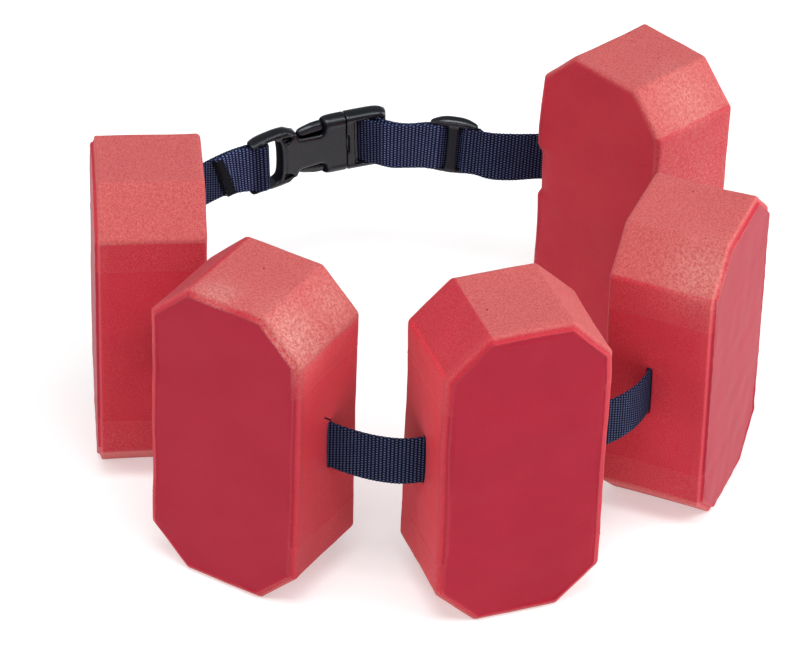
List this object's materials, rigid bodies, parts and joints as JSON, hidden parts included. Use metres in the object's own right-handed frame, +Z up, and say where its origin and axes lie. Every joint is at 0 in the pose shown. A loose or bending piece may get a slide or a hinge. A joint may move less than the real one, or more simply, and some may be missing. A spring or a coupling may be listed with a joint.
{
  "type": "swim belt",
  "caption": "Swim belt: upright foam floats with cut corners, threaded on webbing that closes in a ring with a side-release buckle and a slider.",
  "frame": {"origin": "on the floor the floats stand on, under the middle of the belt's bounding box", "axes": "+Z up, +Y towards the buckle at the back of the belt, +X to the right seen from the front"},
  "size_m": [0.3127, 0.2822, 0.1573],
  "materials": {
    "foam": "matte moulded skin",
    "webbing": "woven",
    "plastic": "satin"
  },
  "bodies": {
    "root": {"float_left": "foam", "float_front_left": "foam", "float_front_right": "foam", "float_right": "foam", "float_back": "foam", "strap": "webbing", "buckle_socket": "plastic", "buckle_plug": "plastic", "slider": "plastic"}
  },
  "joints": []
}
